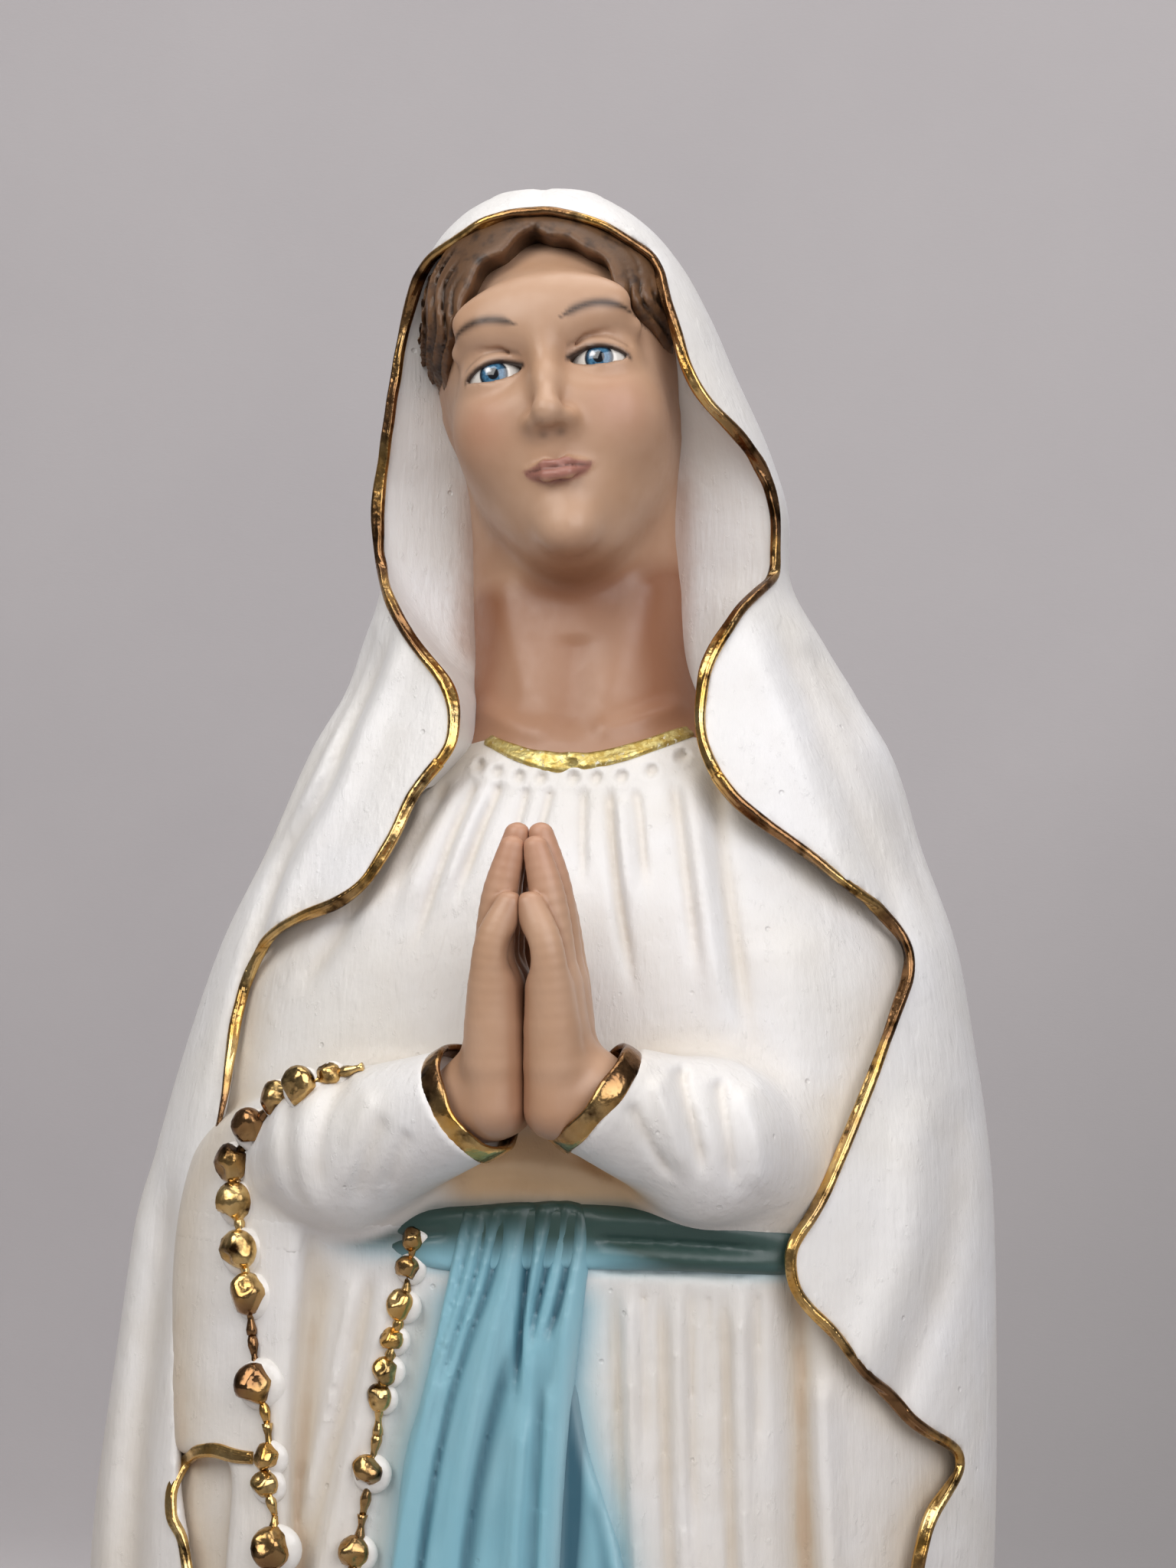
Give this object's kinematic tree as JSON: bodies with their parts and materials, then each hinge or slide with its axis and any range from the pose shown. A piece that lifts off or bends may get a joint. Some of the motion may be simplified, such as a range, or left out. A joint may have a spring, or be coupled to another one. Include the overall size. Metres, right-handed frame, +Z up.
{
  "type": "devotional statue",
  "caption": "Standing robed and veiled figure with joined hands, a tied sash and a draped rosary, on a low plinth.",
  "frame": {"origin": "middle of the felt pad's underside, which is the middle of the bounding box's base", "axes": "+Z up, the figure faces -Y, +X is the figure's left"},
  "size_m": [0.168, 0.148, 0.5],
  "materials": {
    "gown_plaster": "painted plaster, semi-matt cool white",
    "mantle_plaster": "painted plaster, semi-matt cool white with airbrushed beige",
    "plinth_plaster": "painted plaster, semi-matt",
    "felt": "short felt",
    "skin_paint": "peach paint on plaster, satin",
    "hair_paint": "brown paint on plaster, dry-brushed",
    "eye_enamel": "hand-painted enamel, glossy",
    "gilding": "metallic gold paint, bright",
    "rosary_gilt": "metallic gold paint, uneven over white",
    "sash_paint": "blue paint on plaster, airbrushed",
    "pin_steel": "drawn wire"
  },
  "bodies": {
    "root": {"collar_band": "gilding", "felt_pad": "felt", "gown_casting": "gown_plaster", "hair": "hair_paint", "head_casting": "skin_paint", "left_cuff": "gilding", "left_eye": "eye_enamel", "left_foot": "skin_paint", "left_hand": "skin_paint", "left_mantle_hem": "gilding", "left_rose": "gilding", "left_sleeve": "gown_plaster", "left_wrist_pin": "pin_steel", "mantle_casting": "mantle_plaster", "neck_pin": "pin_steel", "plinth": "plinth_plaster", "right_cuff": "gilding", "right_eye": "eye_enamel", "right_foot": "skin_paint", "right_hand": "skin_paint", "right_lower_hem": "gilding", "right_mantle_hem": "gilding", "right_rose": "gilding", "right_sleeve": "gown_plaster", "right_wrist_pin": "pin_steel", "rosary_beads": "rosary_gilt", "rosary_cross": "rosary_gilt", "rosary_links": "rosary_gilt", "rosary_medal": "rosary_gilt", "sash_band": "sash_paint", "sash_left_tail": "sash_paint", "sash_right_tail": "sash_paint", "sleeve_fall": "gown_plaster", "veil_hem": "gilding"}
  },
  "joints": []
}
